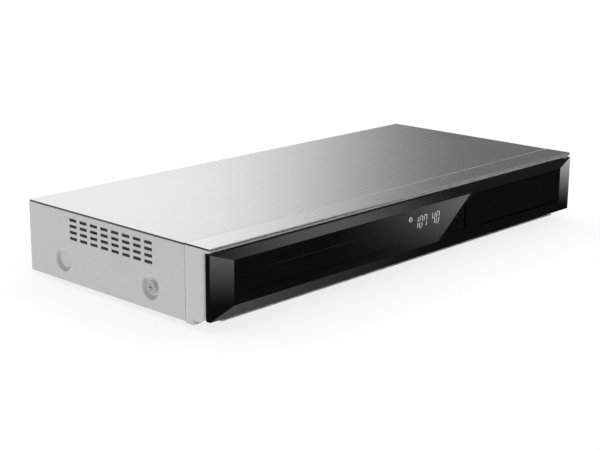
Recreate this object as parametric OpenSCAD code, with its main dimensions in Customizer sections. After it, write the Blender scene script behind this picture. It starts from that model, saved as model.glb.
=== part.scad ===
// Full-width slim home video recorder: a tray-loading optical disc drive, a hard disc,
// a tuner and a mains supply in one low steel case with an aluminium top and a gloss black front.
// Frame: origin under the middle of the case on the standing surface, X right, Y back, Z up.

/* [Body] */
// Width over the side walls
body_w = 430; // [428:0.5:434]
// Depth from the front panel to the rear panel
body_d = 198; // [198:0.5:202]
// Height from the foot pads to the top
body_h = 59; // [59:0.5:62]
// Height of the side walls' lower edge above the standing surface
ground_gap = 4.7; // [4.6:0.1:4.8]
// Sheet thickness of the steel cover
cover_t = 0.8; // [0.7:0.1:0.9]
// Thickness of the aluminium top plate
top_plate_t = 1; // [0.8:0.1:1.1]
// Diameter of the feet
foot_dia = 30; // [26:1:36]

/* [Front] */
// Depth of the silver front frame behind its lip
trim_d = 23; // [22:0.5:24]
// Thickness of the lip that overhangs the black front
lip_t = 3.05; // [2.5:0.05:3.3]
// Distance that the front panel stands in front of the lip
panel_out = 3.5; // [3.3:0.1:3.6]
// Width of the black front's sloping side facets
side_facet = 19.3; // [16:0.1:19.5]
// Height of the sloping facet along the top
top_facet = 6.5; // [5:0.1:6.6]
// Height of the sloping facet along the bottom
bottom_facet = 8.1; // [7:0.1:8.2]
// Gap round the tray door and the flap
seam = 0.3; // [0.25:0.05:0.4]
// Height of the figures on the display
digit_h = 9.4; // [7:0.1:10]

/* [Side walls] */
// Vent columns in each side wall
vent_cols = 8; // [4:1:8]
// Vent rows in each side wall
vent_rows = 4; // [1:1:4]
// Length of one vent slot
vent_len = 8.2; // [6:0.1:9]
// Height of one vent slot
vent_h = 2.25; // [1:0.05:2.5]
// Diameter of the stamped screw recesses
dimple_dia = 17.8; // [17:0.1:18]

/* [Mechanism] */
// Travel of the disc tray
tray_travel = 135; // [120:1:135]
// Diameter of the disc recess in the tray
disc_recess = 121; // [120.5:0.5:122]
// Teeth of the pinion that drives the tray's rack
pinion_teeth = 16; // [16:1:16]
// Blades of the cooling fan
fan_blades = 7; // [5:1:9]
// Length that the aerial sockets stand out behind the rear panel
coax_out = 8; // [7.6:0.1:9]

/* [Hidden] */
$fn = 48;

// Case planes
half_w = body_w / 2;
front_y = -(body_d + coax_out) / 2;
back_y = front_y + body_d;
lip_y = front_y + panel_out;
seam_y = lip_y + trim_d;
wall_in = half_w - cover_t;
cover_top = body_h - 0.2 - top_plate_t;
cover_in_top = cover_top - cover_t;
bend_r = 0.7;
panel_t = 1;
panel_in = back_y - panel_t;

// Side wall features, measured back from the lip and down from the top
vent_first = 60.2;
vent_pitch = 11.74;
vent_drop = 7;
vent_row_pitch = 4.57;
screw_dimple_y = lip_y + 58.4;
blank_dimple_y = lip_y + 154.7;
dimple_z = body_h - 38.5;
dimple_depth = 2;
dimple_floor_r = 6.2;
screw_r = 2;
screw_head_r = 4.9;

// Base and feet
base_t = 1;
base_top = ground_gap + base_t;
base_half_w = wall_in - 0.3;
pad_h = 1;
foot_xy = [[-170, -50], [170, -50], [-170, 66], [170, 66]];

// Black front
rim_y = lip_y - 0.8;
bezel_back = lip_y + 3.3;
bezel_low = 9.1;
bezel_top = body_h - 4;
flat_half = half_w - side_facet;
flat_low = bezel_low + bottom_facet;
flat_top = bezel_top - top_facet;
bezel_t = 2.5;
frame_front = lip_y + 3.8;
frame_wall = 2.5;
frame_low = 7;
frame_corner_r = 4;

// Display
window_low = [-30, 21];
window_high = [60, 46];
window_t = 2;
digits_x = [-3.4, 1.9, 7.2, 17.5, 22.8];
digits = [1, 0, 7, 4, 0];
digit_w = 3.6;
digit_z = 32.3;
digit_lean = 0.12;
stroke = 0.5;
segment_t = 0.2;
module_front = front_y + 2.5;
board_y = lip_y + 6.5;
pcb_t = 1.6;

// Flap on the right, with its hinge along the lower edge
flap_x = [80, 190];
flap_z = [20, 46.5];
flap_t = 3;
knuckle_r = flap_t / 2;
pin_r = 0.7;
pin_gap = 0.06;
flap_axis = [front_y + knuckle_r, flap_z[0] + knuckle_r];
slot_panel_y = front_y + 4.5;
slot_panel_t = 1.5;

// Keys behind the flap
key_x = [100, 125];
key_z = 39;
key_r = 3.3;
key_travel = 0.4;

// Sockets behind the flap: centre x and opening size
slot_board_top = 20;
usb_x = 92;
sd_x = 114;
ci_x = 157;
ci_slot_w = 54.6;
ci_slot_z = [23.2, 28.8];
ci_depth = 82;

// Disc drive
drive_x = [-182, -34];
drive_y = [front_y + 15, 68];
drive_z = [11, 44.5];
drive_wall = 2.5;
drive_floor = drive_z[0] + 1.6;
lid_t = 1;
spindle = [-108, -26];
tray_x = [-174, -42];
tray_y = [front_y + 2.5, 62];
tray_z = [29, 34.5];
door_x = [-181, -35];
door_z = [24, 38];

// Loading gears: the pinion drives the rack, and its lower wheel meshes with the motor pinion
rack_module = 1;
pinion_at = [-56, -79];
pitch_r = rack_module * pinion_teeth / 2;
rack_line = pinion_at[0] - pitch_r;
rack_z = [25.5, tray_z[0]];
wheel_module = 0.8;
wheel_teeth = 36;
motor_teeth = 10;
mesh_angle = 70;
centre_gap = wheel_module * (wheel_teeth + motor_teeth) / 2;
motor_at = pinion_at + centre_gap * [cos(mesh_angle), sin(mesh_angle)];
wheel_z = [21.5, 24.5];
post_r = 1.5;
run_gap = 0.06;
backlash = 0.16;

// Traverse that carries the spindle and the laser sled, hinged at its back edge
traverse_x = [-150, -73];
traverse_y = [-50, 58];
traverse_z = [17, 19];
trunnion = [54, 18];
trunnion_r = 1.5;
rail_x = [-134, -86];
rail_z = 21.8;
rail_r = 1.25;
screw_x = -78;
lead_r = 1.3;
sled_y = [-9, 17];

// Fan
fan_at = [-170, 30];
fan_side = 40;
fan_y = [panel_in - 10, panel_in];
duct_r = 18.6;
hub_r = 12;

// Boards and drives in the middle and on the right
standoff_r = 3;
board_z = 12;
board_top = board_z + pcb_t;
main_x = [-29, 75];
main_y = [-60, 93];
psu_x = [98, 208];
psu_y = [8, 92];
hdd_x = [-28, 73.6];
hdd_y = [-62, 85];
hdd_z = [29.5, 55];
bracket_t = 1;
tuner_x = [-28, 6];
coax_x = [-19, -3];
coax_z = 21;
lan_x = [10, 26];
hdmi_x = [37.5, 57];
jack_x = [-126, -112, -98];
jack_z = 28;
optical_x = -78;
inlet_x = [180, 206];
inlet_z = [14, 33];

// A box between two opposite corners
module block(a, b) translate(a) cube(b - a);

// Rods along each axis
module rod_x(x, y, z, r) {
  translate([x[0], y, z]) rotate([0, 90, 0]) cylinder(h = x[1] - x[0], r = r);
}
module rod_y(x, y, z, r) {
  translate([x, y[0], z]) rotate([-90, 0, 0]) cylinder(h = y[1] - y[0], r = r);
}
module rod_z(x, y, z, r) {
  translate([x, y, z[0]]) cylinder(h = z[1] - z[0], r = r);
}

// Prisms from a [y, z] outline along X, and from an [x, z] outline along Y
module prism_x(x, outline) {
  translate([x[0], 0, 0]) rotate([90, 0, 90]) linear_extrude(x[1] - x[0]) polygon(outline);
}
module prism_y(y, outline) {
  translate([0, y[1], 0]) rotate([90, 0, 0]) linear_extrude(y[1] - y[0]) polygon(outline);
}

// Points of an arc
function arc(c, r, a, b, n) = [for (i = [0:n]) c + r * [cos(a + (b - a) * i / n), sin(a + (b - a) * i / n)]];

// Both sides of the case
module both_sides() {
  children();
  mirror([1, 0, 0]) children();
}

// Pan-head screw along +X, its head's outer face at the origin, with a cross recess
module pan_screw(length) {
  head_h = 1.9;
  difference() {
    union() {
      rotate([0, 90, 0]) cylinder(h = head_h, r1 = screw_head_r - 0.5, r2 = screw_head_r);
      rotate([0, 90, 0]) cylinder(h = length, r = screw_r);
    }
    for (turn = [0, 90]) rotate([turn, 0, 0]) translate([-1, -2.3, -0.45]) cube([2.2, 4.6, 0.9]);
  }
}

// ---- Case ----

module top_plate() {
  edge_r = 1.2;
  outline = concat(
    [[-half_w, seam_y + 0.25], [half_w, seam_y + 0.25]],
    arc([half_w - edge_r, back_y - edge_r], edge_r, 0, 90, 5),
    arc([edge_r - half_w, back_y - edge_r], edge_r, 90, 180, 5)
  );
  color("silver") translate([0, 0, cover_top]) linear_extrude(top_plate_t) polygon(outline);
}

// Stamped recess in the left wall, seen from its axis along +X
module dimple(y) {
  rim_r = dimple_dia / 2;
  profile = [
    [0, dimple_depth], [dimple_floor_r, dimple_depth], [rim_r, 0], [rim_r, cover_t],
    [dimple_floor_r + 0.4, dimple_depth + cover_t], [0, dimple_depth + cover_t]
  ];
  translate([-half_w, y, dimple_z]) rotate([0, 90, 0]) rotate_extrude() polygon(profile);
}

module cover() {
  y = [seam_y + 0.3, back_y];
  outer = concat(
    [[-half_w, ground_gap]],
    [[half_w, ground_gap]],
    arc([half_w - bend_r, cover_top - bend_r], bend_r, 0, 90, 6),
    arc([bend_r - half_w, cover_top - bend_r], bend_r, 90, 180, 6)
  );
  color("gainsboro") difference() {
    union() {
      difference() {
        prism_y(y, outer);
        block([-wall_in, y[0] - 1, ground_gap - 1], [wall_in, y[1] + 1, cover_in_top]);
        both_sides() {
          for (i = [0:vent_cols - 1], j = [0:vent_rows - 1])
            translate([-half_w - 1, lip_y + vent_first + i * vent_pitch - vent_len / 2,
                       body_h - vent_drop - j * vent_row_pitch - vent_h / 2])
              cube([cover_t + 2, vent_len, vent_h]);
          for (at = [screw_dimple_y, blank_dimple_y])
            rod_x([-half_w - 1, -wall_in + 1], at, dimple_z, dimple_dia / 2);
        }
      }
      both_sides() for (at = [screw_dimple_y, blank_dimple_y]) dimple(at);
    }
    both_sides() rod_x([-half_w, -half_w + 5], screw_dimple_y, dimple_z, screw_r);
  }
}

module cover_screws() {
  depth = dimple_depth - 1.9;
  color("dimgray") {
    both_sides() translate([-half_w + depth, screw_dimple_y, dimple_z]) pan_screw(7);
  }
}

module front_frame() {
  low_step = lip_y + 15.7;
  plan = concat(
    arc([-half_w + frame_corner_r, frame_front + frame_corner_r], frame_corner_r, 180, 270, 6),
    arc([half_w - frame_corner_r, frame_front + frame_corner_r], frame_corner_r, 270, 360, 6),
    [[half_w, seam_y], [-half_w, seam_y]]
  );
  under = body_h - lip_t;
  nose = [
    [lip_y + 0.3, body_h], [lip_y, body_h - 0.3], [lip_y, under + 0.5], [lip_y + 0.5, under],
    [seam_y, under], [seam_y, body_h]
  ];
  side_cut = [
    [frame_front - 1, frame_low - 1], [frame_front + 4.2, frame_low - 1],
    [frame_front + 4.2, frame_low], [frame_front, frame_low + 2.9], [frame_front - 1, frame_low + 2.9]
  ];
  color("silver") union() {
    prism_x([-half_w, half_w], nose);
    difference() {
      translate([0, 0, frame_low]) linear_extrude(under - frame_low) polygon(plan);
      block([-half_w + frame_wall, frame_front + frame_wall, frame_low + frame_wall],
            [half_w - frame_wall, seam_y + 1, under - 1]);
      block([-205, frame_front - 1, 12], [205, frame_front + frame_wall + 1, 52]);
      prism_x([-half_w - 1, half_w + 1], side_cut);
    }
    both_sides() block([-half_w, low_step, ground_gap - 1.1], [-half_w + 14, seam_y, frame_low]);
  }
}

// Outline of the black front seen from above and from the side, thinned by t
function bezel_plan(t) = [
  [-half_w + t, bezel_back + 0.1 * t], [-half_w + t, rim_y + 0.75 * t], [-flat_half, front_y + t],
  [flat_half, front_y + t], [half_w - t, rim_y + 0.75 * t], [half_w - t, bezel_back + 0.1 * t]
];
function bezel_side(t) = [
  [bezel_back + 0.1 * t, bezel_low + t], [rim_y + 0.75 * t, bezel_low + t],
  [front_y + t, flat_low + 0.2 * t], [front_y + t, flat_top - 0.2 * t],
  [rim_y + 0.75 * t, bezel_top - t], [bezel_back + 0.1 * t, bezel_top - t]
];

module bezel_form(t) {
  intersection() {
    linear_extrude(body_h) polygon(bezel_plan(t));
    prism_x([-half_w, half_w], bezel_side(t));
  }
}

module front_bezel() {
  color([0.03, 0.03, 0.035]) difference() {
    bezel_form(0);
    bezel_form(bezel_t);
    block([door_x[0] - seam, front_y - 1, door_z[0] - seam],
          [door_x[1] + seam, front_y + 4, door_z[1] + seam]);
    block([window_low[0], front_y - 1, window_low[1]], [window_high[0], front_y + 4, window_high[1]]);
    block([flap_x[0] - seam, front_y - 1, flap_z[0] - seam],
          [flap_x[1] + seam, front_y + 4, flap_z[1] + seam]);
    rod_x([flap_x[0] - 4, flap_x[1] + 4], flap_axis[0], flap_axis[1], pin_r);
  }
}

module display_window() {
  color([0.05, 0.05, 0.06, 0.8])
    block([window_low[0], front_y, window_low[1]], [window_high[0], front_y + window_t, window_high[1]]);
}

module flap() {
  side = concat(
    arc(flap_axis, knuckle_r, 180, 360, 12),
    [[front_y + flap_t, flap_z[1]], [front_y, flap_z[1]]]
  );
  color([0.04, 0.04, 0.045]) difference() {
    prism_x(flap_x, side);
    for (x = [[flap_x[0] - 1, flap_x[0] + 4], [flap_x[1] - 4, flap_x[1] + 1]])
      rod_x(x, flap_axis[0], flap_axis[1], pin_r + pin_gap);
    block([flap_x[0] + 45, front_y + flap_t - 0.8, flap_z[1] - 5],
          [flap_x[1] - 45, front_y + flap_t + 1, flap_z[1] - 2]);
  }
}

module flap_pins() {
  color("silver") for (x = [[flap_x[0] - 4, flap_x[0] + 3.5], [flap_x[1] - 3.5, flap_x[1] + 4]])
    rod_x(x, flap_axis[0], flap_axis[1], pin_r);
}

module slot_panel() {
  rim = 1.7;
  low = [flap_x[0] - seam, flap_z[0] - seam];
  high = [flap_x[1] + seam, flap_z[1] + seam];
  y = [slot_panel_y, slot_panel_y + slot_panel_t];
  color([0.09, 0.09, 0.1]) difference() {
    block([low[0] - rim, front_y + bezel_t, low[1] - rim + 0.5],
          [high[0] + rim, y[1], high[1] + rim - 0.6]);
    block([low[0], front_y, low[1]], [high[0], y[0], high[1]]);
    for (x = key_x) rod_y(x, [y[0] - 1, y[1] + 1], key_z, key_r + 0.2);
    block([usb_x - 6.8, y[0] - 1, 20.2], [usb_x + 6.8, y[1] + 1, 27]);
    block([sd_x - 12.6, y[0] - 1, 20.4], [sd_x + 12.6, y[1] + 1, 24]);
    block([ci_x - 27.5, y[0] - 1, ci_slot_z[0] - 0.2], [ci_x + 27.5, y[1] + 1, ci_slot_z[1] + 0.2]);
  }
}

// Key cap with a retaining flange and a stem that ends just off its switch
module key_cap(x) {
  face = slot_panel_y - 0.7;
  inner = slot_panel_y + slot_panel_t;
  union() {
    rod_y(x, [face, inner + 0.35], key_z, key_r);
    rod_y(x, [inner + 0.3, inner + 1.2], key_z, key_r + 1);
    rod_y(x, [inner + 1.1, inner + 2.1], key_z, 1.5);
  }
}

module power_button() color("dimgray") key_cap(key_x[0]);

module eject_button() color("dimgray") key_cap(key_x[1]);

module key_switches() {
  tip = slot_panel_y + slot_panel_t + 2.1 + key_travel + 0.1;
  color("darkslategray") for (x = key_x) union() {
    rod_y(x, [tip, board_y - 1], key_z, 1.7);
    block([x - 3, tip + 0.6, key_z - 3], [x + 3, board_y, key_z + 3]);
  }
}

module front_board() {
  outline = [
    [-33, 15], [66, 15], [66, 33], [190, 33], [190, 51], [-33, 51]
  ];
  color("darkgreen") prism_y([board_y, board_y + pcb_t], outline);
}

module display_module() {
  color([0.08, 0.1, 0.1]) union() {
    block([-26, module_front, 23], [52, board_y - 2, 45.5]);
    for (x = [-22, 46]) block([x, board_y - 2.1, 26], [x + 2, board_y, 42]);
  }
}

// Seven-segment figure: a bar from a to b in the figure's own slanted frame
function lean(p) = [p[0] + digit_lean * p[1], p[1]];
module bar(x, a, b) {
  across = abs(a[0] - b[0]) > abs(a[1] - b[1]) ? [0, stroke / 2] : [stroke / 2, 0];
  along = across[0] == 0 ? [0.12, 0] : [0, 0.12];
  outline = [for (p = [a + along - across, b - along - across, b - along + across, a + along + across])
             lean(p) + [x, digit_z]];
  prism_y([module_front - segment_t, module_front], outline);
}

module figure(x, value) {
  w = digit_w - stroke;
  h = digit_h - stroke;
  ends = [
    [[0, h], [w, h]], [[w, h / 2], [w, h]], [[w, 0], [w, h / 2]], [[0, 0], [w, 0]],
    [[0, 0], [0, h / 2]], [[0, h / 2], [0, h]], [[0, h / 2], [w, h / 2]]
  ];
  lit = [
    [0, 1, 2, 3, 4, 5], [1, 2], [0, 1, 3, 4, 6], [0, 1, 2, 3, 6], [1, 2, 5, 6],
    [0, 2, 3, 5, 6], [0, 2, 3, 4, 5, 6], [0, 1, 2, 5], [0, 1, 2, 3, 4, 5, 6], [0, 1, 2, 3, 5, 6]
  ];
  for (s = lit[value]) {
    inset = ends[s][0][1] == ends[s][1][1] ? [stroke * 0.6, 0] : [0, stroke * 0.6];
    bar(x, ends[s][0] + inset, ends[s][1] - inset);
  }
}

module display_segments() {
  icon_at = [-8.7, 40.6];
  icon_r = [2, 0.6];
  y = [module_front - segment_t, module_front];
  color("white") {
    for (i = [0:len(digits) - 1]) figure(digits_x[i], digits[i]);
    // plain disc symbol
    difference() {
      rod_y(icon_at[0], y, icon_at[1], icon_r[0]);
      rod_y(icon_at[0], [y[0] - 1, y[1] + 1], icon_at[1], icon_r[0] - stroke);
    }
    rod_y(icon_at[0], y, icon_at[1], icon_r[1]);
  }
}

module chassis_base() {
  notch = 199;
  flange_top = 11;
  tab_x = -half_w + dimple_depth + cover_t;
  posts = concat(
    [for (x = [main_x[0] + 8, main_x[1] - 6], y = [main_y[0] + 8, main_y[1] - 12]) [x, y, board_z]],
    [for (x = [psu_x[0] + 6, psu_x[1] - 6], y = [psu_y[0] + 6, psu_y[1] - 30]) [x, y, board_z]],
    [for (x = [drive_x[0] + 10, drive_x[1] - 10], y = [seam_y + 5, drive_y[1] - 10]) [x, y, drive_z[0]]],
    [for (x = [92, 122], y = [seam_y + 5, -8]) [x, y, slot_board_top - pcb_t]]
  );
  color("lightsteelblue") difference() {
    union() {
      block([-notch, front_y + 9, ground_gap], [notch, panel_in, base_top]);
      both_sides() {
        block([-base_half_w, seam_y + 0.3, ground_gap], [-notch + 1, panel_in, base_top]);
        block([-base_half_w, seam_y + 0.3, ground_gap], [-base_half_w + 0.8, panel_in, flange_top]);
        block([tab_x, screw_dimple_y - 8, base_top - 0.5], [tab_x + 1.2, screw_dimple_y + 8, dimple_z + 7]);
      }
      for (p = posts) rod_z(p[0], p[1], [base_top - 0.5, p[2]], standoff_r);
    }
    both_sides() {
      rod_x([tab_x - 1, tab_x + 2], screw_dimple_y, dimple_z, screw_r);
      for (i = [0:11]) block([-30 - i * 9, 10, ground_gap - 1], [-26 - i * 9, 40, base_top + 1]);
    }
  }
}

module rear_panel() {
  y = [panel_in, back_y];
  clear = 0.25;
  color("lightsteelblue") difference() {
    block([-wall_in + 0.5, y[0], base_top], [wall_in - 0.5, y[1], cover_in_top - 0.3]);
    for (i = [-4:4]) {
      reach = sqrt(duct_r * duct_r - 16 * i * i) - 2;
      block([fan_at[0] + 4 * i - 1.3, y[0] - 1, fan_at[1] - reach],
            [fan_at[0] + 4 * i + 1.3, y[1] + 1, fan_at[1] + reach]);
    }
    for (x = jack_x) rod_y(x, [y[0] - 1, y[1] + 1], jack_z, 5.2 + clear);
    block([optical_x - 6 - clear, y[0] - 1, jack_z - 5.5 - clear],
          [optical_x + 6 + clear, y[1] + 1, jack_z + 5.5 + clear]);
    for (x = coax_x) rod_y(x, [y[0] - 1, y[1] + 1], coax_z, 6.2 + clear);
    block([lan_x[0] - clear, y[0] - 1, board_top - clear],
          [lan_x[1] + clear, y[1] + 1, board_top + 13.6 + clear]);
    for (x = hdmi_x)
      block([x - 7.6 - clear, y[0] - 1, board_top], [x + 7.6 + clear, y[1] + 1, board_top + 6.4 + clear]);
    block([inlet_x[0] + 3 - clear, y[0] - 1, inlet_z[0] + 3],
          [inlet_x[1] - 3 + clear, y[1] + 1, inlet_z[1] - 3 + clear]);
    // two rows of air slots
    for (x = [-22, 88], i = [0:13]) block([x + 6 * i, y[0] - 1, 42], [x + 3 + 6 * i, y[1] + 1, 52]);
  }
}

module feet() {
  foot_r = foot_dia / 2;
  color([0.1, 0.1, 0.1]) for (p = foot_xy)
    translate([p[0], p[1], pad_h]) cylinder(h = ground_gap - pad_h, r1 = foot_r - 1.5, r2 = foot_r);
}

module foot_pads() {
  color([0.2, 0.2, 0.2]) for (p = foot_xy) rod_z(p[0], p[1], [0, pad_h], foot_dia / 2 - 3);
}

// ---- Disc drive ----

module drive_chassis() {
  inner = [drive_x[0] + drive_wall, drive_x[1] - drive_wall];
  wall_top = drive_z[1] - lid_t;
  color([0.13, 0.13, 0.14]) difference() {
    union() {
      difference() {
        block([drive_x[0], drive_y[0], drive_z[0]], [drive_x[1], drive_y[1], wall_top]);
        block([inner[0], drive_y[0] + 2, drive_floor], [inner[1], drive_y[1] - drive_wall, wall_top + 1]);
        block([inner[0], drive_y[0] - 1, 25], [inner[1], drive_y[0] + 3, wall_top + 1]);
        // clearance for the loading wheel's front edge
        block([pinion_at[0] - 17, drive_y[0] - 1, wheel_z[0] - 1], [pinion_at[0] + 17, drive_y[0] + 3, 26]);
      }
      // ledges and guide tabs for the tray's edges
      for (x = [[inner[0] - 1, tray_x[0] + 3], [tray_x[1] - 3, inner[1] + 1]]) {
        block([x[0], drive_y[0], tray_z[0] - 2.5], [x[1], drive_y[1] - 1, tray_z[0] - seam]);
        for (y = [drive_y[0] + 12, -10, 40])
          block([x[0], y, tray_z[1] + seam], [x[1], y + 10, tray_z[1] + 2]);
      }
      // post for the tray pinion
      rod_z(pinion_at[0], pinion_at[1], [drive_floor - 0.5, 28.4], post_r);
      // bearings for the traverse's trunnions
      for (x = [[-156, -151], [-72, -67]])
        block([x[0], trunnion[0] - 4, drive_floor - 0.5], [x[1], trunnion[0] + 4, trunnion[1] + 4]);
    }
    for (x = [[-157, -150.5], [-72.5, -66]])
      rod_x(x, trunnion[0], trunnion[1], trunnion_r + run_gap);
  }
}

module drive_lid() {
  color("lightgray") difference() {
    union() {
      block([drive_x[0], drive_y[0], drive_z[1] - lid_t], [drive_x[1], drive_y[1], drive_z[1]]);
      // raised bridge round the clamp
      rod_z(spindle[0], spindle[1], [drive_z[1] - 0.5, drive_z[1] + 0.8], 24);
    }
    rod_z(spindle[0], spindle[1], [drive_z[1] - 2, drive_z[1] + 2], 10.5);
    for (y = [18, 32, 46]) block([-160, y, drive_z[1] - 2], [-56, y + 3, drive_z[1] + 1]);
  }
}

module disc_tray() {
  root = rack_line - 1.25 * rack_module;
  tooth_pitch = PI * rack_module;
  teeth = floor((tray_travel + 8) / tooth_pitch);
  rack_y = [pinion_at[1] - 5, pinion_at[1] - 5 + tooth_pitch * (teeth + 1)];
  color([0.2, 0.2, 0.21]) difference() {
    union() {
      block([tray_x[0], tray_y[0], tray_z[0]], [tray_x[1], tray_y[1], tray_z[1]]);
      block([root - 3.2, rack_y[0], rack_z[0]], [root, rack_y[1], tray_z[0] + 1]);
      // rack teeth, with a gap opposite the pinion's tooth at rest
      for (i = [0:teeth - 1])
        translate([0, pinion_at[1] + tooth_pitch * (i - 0.5), rack_z[0]])
          linear_extrude(rack_z[1] - rack_z[0]) polygon(rack_tooth());
    }
    rod_z(spindle[0], spindle[1], [tray_z[1] - 1.6, tray_z[1] + 1], disc_recess / 2);
    rod_z(spindle[0], spindle[1], [tray_z[1] - 2.8, tray_z[1] + 1], 40.5);
    rod_z(spindle[0], spindle[1], [tray_z[0] - 1, tray_z[1] + 1], 19);
    block([spindle[0] - 19, spindle[1], tray_z[0] - 1], [spindle[0] + 19, spindle[1] + 68, tray_z[1] + 1]);
    // finger scoops at both sides of the disc
    for (x = [tray_x[0], tray_x[1]]) rod_z(x, spindle[1], [tray_z[1] - 1.6, tray_z[1] + 1], 14);
  }
}

// Rack tooth pointing +X, thinned by the backlash
function rack_tooth() =
  let (m = rack_module, root = rack_line - 1.25 * m, tip = rack_line + m, slope = tan(20),
       half = PI * m / 4 - backlash / 2)
  [[root - 0.1, -half - 1.25 * m * slope], [tip, -half + m * slope], [tip, half - m * slope],
   [root - 0.1, half + 1.25 * m * slope]];

// Involute spur gear outline with tooth 0 centred on +X
function involute(rb, r) = let (a = acos(min(1, rb / r))) tan(a) * 180 / PI - a;
function gear_outline(m, n) =
  let (rp = m * n / 2, rb = rp * cos(20), ro = rp + m * 0.95, rr = rp - m * 1.25,
       half = 90 / n - (backlash / 2) / rp * 180 / PI, at = involute(rb, rp),
       radii = [for (i = [0:4]) max(rb, rr) + (ro - max(rb, rr)) * i / 4])
  [for (t = [0:n - 1]) each concat(
     [polar(rr, 360 * t / n - half - at)],
     [for (r = radii) polar(r, 360 * t / n - half - at + involute(rb, r))],
     [for (i = [4:-1:0]) polar(radii[i], 360 * t / n + half + at - involute(rb, radii[i]))],
     [polar(rr, 360 * t / n + half + at)])];
function polar(r, a) = [r * cos(a), r * sin(a)];

module gear(at, z, m, n, turn) {
  translate([at[0], at[1], z[0]]) rotate([0, 0, turn])
    linear_extrude(z[1] - z[0]) polygon(gear_outline(m, n));
}

module tray_door() {
  color([0.03, 0.03, 0.035]) block([door_x[0], front_y, door_z[0]], [door_x[1], front_y + 2.5, door_z[1]]);
}

module tray_pinion() {
  color("ivory") difference() {
    union() {
      gear(pinion_at, [25.7, 28.5], rack_module, pinion_teeth, 180);
      gear(pinion_at, wheel_z, wheel_module, wheel_teeth, mesh_angle);
      rod_z(pinion_at[0], pinion_at[1], [wheel_z[1] - 0.5, 26], 5);
    }
    rod_z(pinion_at[0], pinion_at[1], [wheel_z[0] - 1, 30], post_r + run_gap);
  }
}

module motor_pinion() {
  turn = mesh_angle + 180 + 180 / motor_teeth;
  color("gold") union() {
    gear(motor_at, wheel_z, wheel_module, motor_teeth, turn);
    rod_z(motor_at[0], motor_at[1], [17, wheel_z[0] + 0.5], 1);
  }
}

module loader_motor() {
  color("silver") difference() {
    union() {
      rod_z(motor_at[0], motor_at[1], [drive_floor, 19.8], 9.5);
      rod_z(motor_at[0], motor_at[1], [19.5, 20.8], 3);
    }
    rod_z(motor_at[0], motor_at[1], [16.9, 21], 1 + run_gap);
  }
}

module traverse_frame() {
  color("dimgray") difference() {
    union() {
      block([traverse_x[0], traverse_y[0], traverse_z[0]], [traverse_x[1], traverse_y[1], traverse_z[1]]);
      // rail and screw supports
      for (y = [[-13, -9.5], [51.5, 55]]) {
        for (x = rail_x) block([x - 3, y[0], traverse_z[1] - 0.5], [x + 3, y[1], rail_z + 2.5]);
      }
      block([screw_x - 3, 51.5, traverse_z[1] - 0.5], [screw_x + 3, 55, rail_z + 2.5]);
      for (x = [[-155, traverse_x[0] + 1], [traverse_x[1] - 1, -68]])
        rod_x(x, trunnion[0], trunnion[1], trunnion_r);
      block([traverse_x[0], trunnion[0] - 2, 16], [traverse_x[0] + 3, trunnion[0] + 2, 20]);
      block([traverse_x[1] - 3, trunnion[0] - 2, 16], [traverse_x[1], trunnion[0] + 2, 20]);
    }
    block([-128, -7, traverse_z[0] - 1], [-92, 48, traverse_z[1] + 1]);
    rod_z(spindle[0], spindle[1], [traverse_z[0] - 1, traverse_z[1] + 1], 6);
    for (x = rail_x) rod_y(x, [-12, 54], rail_z, rail_r);
    rod_y(screw_x, [51, 54], rail_z, lead_r + run_gap);
  }
}

module spindle_motor() {
  color("silver") difference() {
    union() {
      rod_z(spindle[0], spindle[1], [13.6, traverse_z[0]], 13);
      rod_z(spindle[0], spindle[1], [traverse_z[0] - 1, traverse_z[1]], 6);
    }
    rod_z(spindle[0], spindle[1], [14.5, traverse_z[1] + 1], 1.25 + run_gap);
  }
}

module turntable() {
  color("dimgray") union() {
    rod_z(spindle[0], spindle[1], [14.8, 20], 1.25);
    rod_z(spindle[0], spindle[1], [19.4, 24], 12.5);
    rod_z(spindle[0], spindle[1], [23.5, 25.2], 14);
    translate([spindle[0], spindle[1], 25]) cylinder(h = 3, r1 = 7.4, r2 = 6);
  }
}

module disc_clamp() {
  top = drive_z[1] + 0.8;
  color([0.15, 0.15, 0.16]) union() {
    rod_z(spindle[0], spindle[1], [39.5, top + 0.5], 10);
    rod_z(spindle[0], spindle[1], [top + 0.2, top + 1.4], 12.5);
    rod_z(spindle[0], spindle[1], [37.5, 40.5], 13);
  }
}

module laser_sled() {
  color([0.3, 0.3, 0.33]) difference() {
    union() {
      block([rail_x[0] - 4, sled_y[0], 19.6], [rail_x[1] + 4, sled_y[1], 25]);
      rod_z(spindle[0], sled_y[0] + 5.5, [24.5, 26.6], 4);
      block([rail_x[1] + 3, sled_y[0] + 4, 20.5], [screw_x - lead_r - 0.25, sled_y[1] - 4, 24]);
    }
    for (x = rail_x) rod_y(x, [sled_y[0] - 1, sled_y[1] + 1], rail_z, rail_r + run_gap);
    rod_z(spindle[0], sled_y[0] + 5.5, [25.8, 27], 3);
  }
}

module sled_rails() color("silver") for (x = rail_x) rod_y(x, [-12, 54], rail_z, rail_r);

module lead_screw() {
  color("goldenrod") difference() {
    rod_y(screw_x, [-12, 53.5], rail_z, lead_r);
    for (i = [0:17]) screw_groove(-5 + 3 * i);
  }
}

// Groove of the lead screw at y
module screw_groove(y) {
  difference() {
    rod_y(screw_x, [y, y + 0.8], rail_z, lead_r + 1);
    rod_y(screw_x, [y - 1, y + 2], rail_z, lead_r - 0.3);
  }
}

module sled_motor() {
  color("silver") difference() {
    union() {
      rod_y(screw_x, [-24, -10], rail_z, 2.8);
      block([screw_x - 2.8, -24, traverse_z[1]], [screw_x + 2.8, -10, rail_z]);
    }
    rod_y(screw_x, [-12.2, -9], rail_z, lead_r + run_gap);
  }
}

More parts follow.
